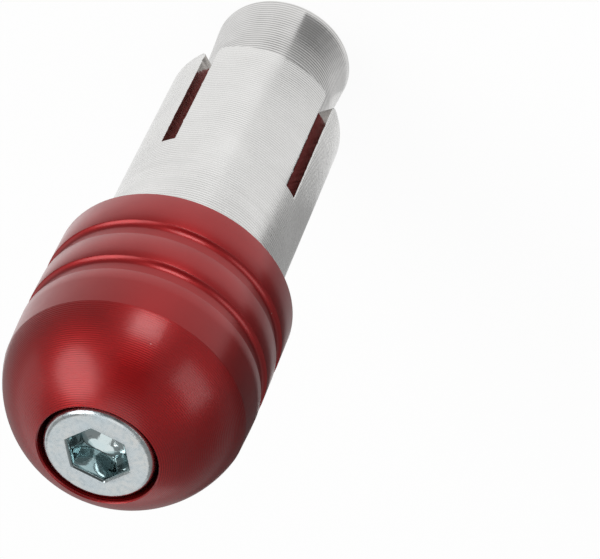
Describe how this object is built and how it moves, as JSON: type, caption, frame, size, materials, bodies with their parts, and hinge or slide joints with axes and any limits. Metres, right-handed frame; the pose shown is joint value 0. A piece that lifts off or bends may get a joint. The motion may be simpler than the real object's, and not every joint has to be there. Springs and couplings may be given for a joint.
{
  "type": "handlebar end plug",
  "caption": "Turned domed end weight with an expanding slotted spigot and sleeve, a wedge cone and a socket cap screw, for the open end of a tubular handlebar.",
  "frame": {"origin": "on the plug's axis, at the shoulder that rests on the end of the handlebar", "axes": "+Z along the axis, from the handlebar out to the nose; +X midway between two slots of the sleeve"},
  "size_m": [0.022, 0.022, 0.0591],
  "materials": {
    "red_anodised": "satin red anodised, fine turning marks",
    "bare_aluminium": "bare, as turned, fine rings",
    "cone_aluminium": "bare, as turned, coarse rings",
    "zinc_steel": "blue zinc plated"
  },
  "bodies": {
    "root": {"end_weight": "red_anodised", "expansion_sleeve": "bare_aluminium"},
    "screw": {"clamp_screw": "zinc_steel"},
    "cone": {"wedge_cone": "cone_aluminium"}
  },
  "joints": [
    {"name": "screw_turn", "type": "hinge", "parent": "root", "child": "screw", "pos_m": [0, 0, 0], "axis": [0, 0, 1], "range_deg": [0, 2160]},
    {"name": "cone_travel", "type": "slide", "parent": "root", "child": "cone", "axis": [0, 0, -1], "range_m": [0, 0.0061]}
  ],
  "couplings": [
    {"joint": "cone_travel", "follows": "screw_turn", "m_per_rad": 0.00015915}
  ]
}
